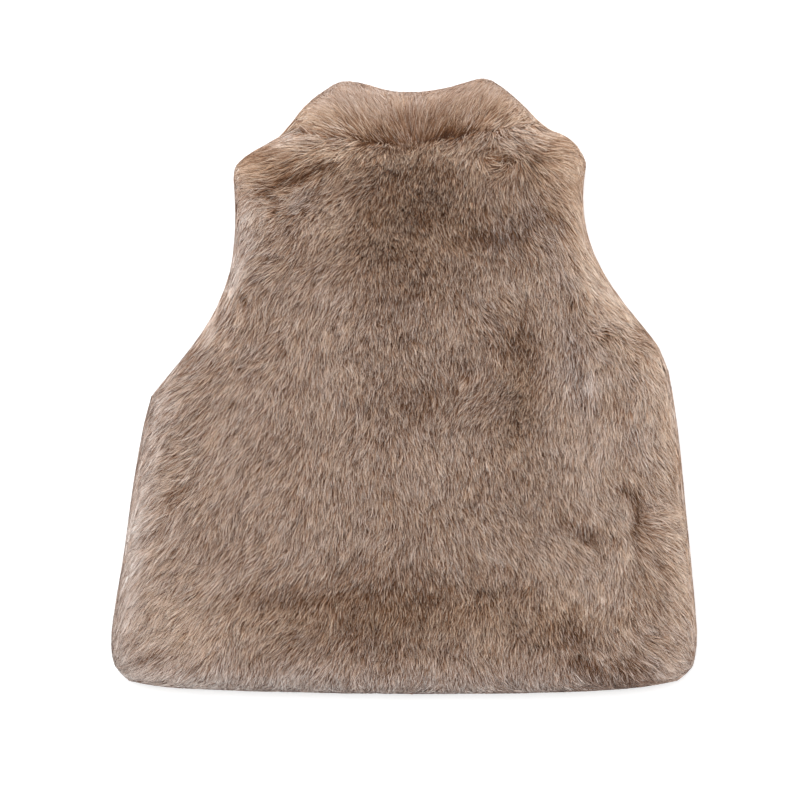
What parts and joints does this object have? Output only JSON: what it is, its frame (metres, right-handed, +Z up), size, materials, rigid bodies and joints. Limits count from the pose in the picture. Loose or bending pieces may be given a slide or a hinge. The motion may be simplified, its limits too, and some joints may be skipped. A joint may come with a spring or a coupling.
{
  "type": "fur gilet laid flat",
  "caption": "Toddler's long-pile fur gilet with a stand collar and open armholes, laid flat on its front with the back showing.",
  "frame": {"origin": "on the surface it lies on, under the middle of the laid garment's box", "axes": "+Z up through the fronts and then the back, +Y from hem to collar, +X to the right seen from above"},
  "size_m": [0.3985, 0.4188, 0.0373],
  "materials": {
    "back_fur": "long soft taupe pile combed towards the hem, darker at the roots",
    "front_fur": "long soft taupe pile, pressed flat where it lies on the floor",
    "collar_fur": "long soft warm taupe pile brushed up and out"
  },
  "bodies": {
    "root": {"back": "back_fur", "front_left": "front_fur", "front_right": "front_fur", "collar": "collar_fur"}
  },
  "joints": []
}
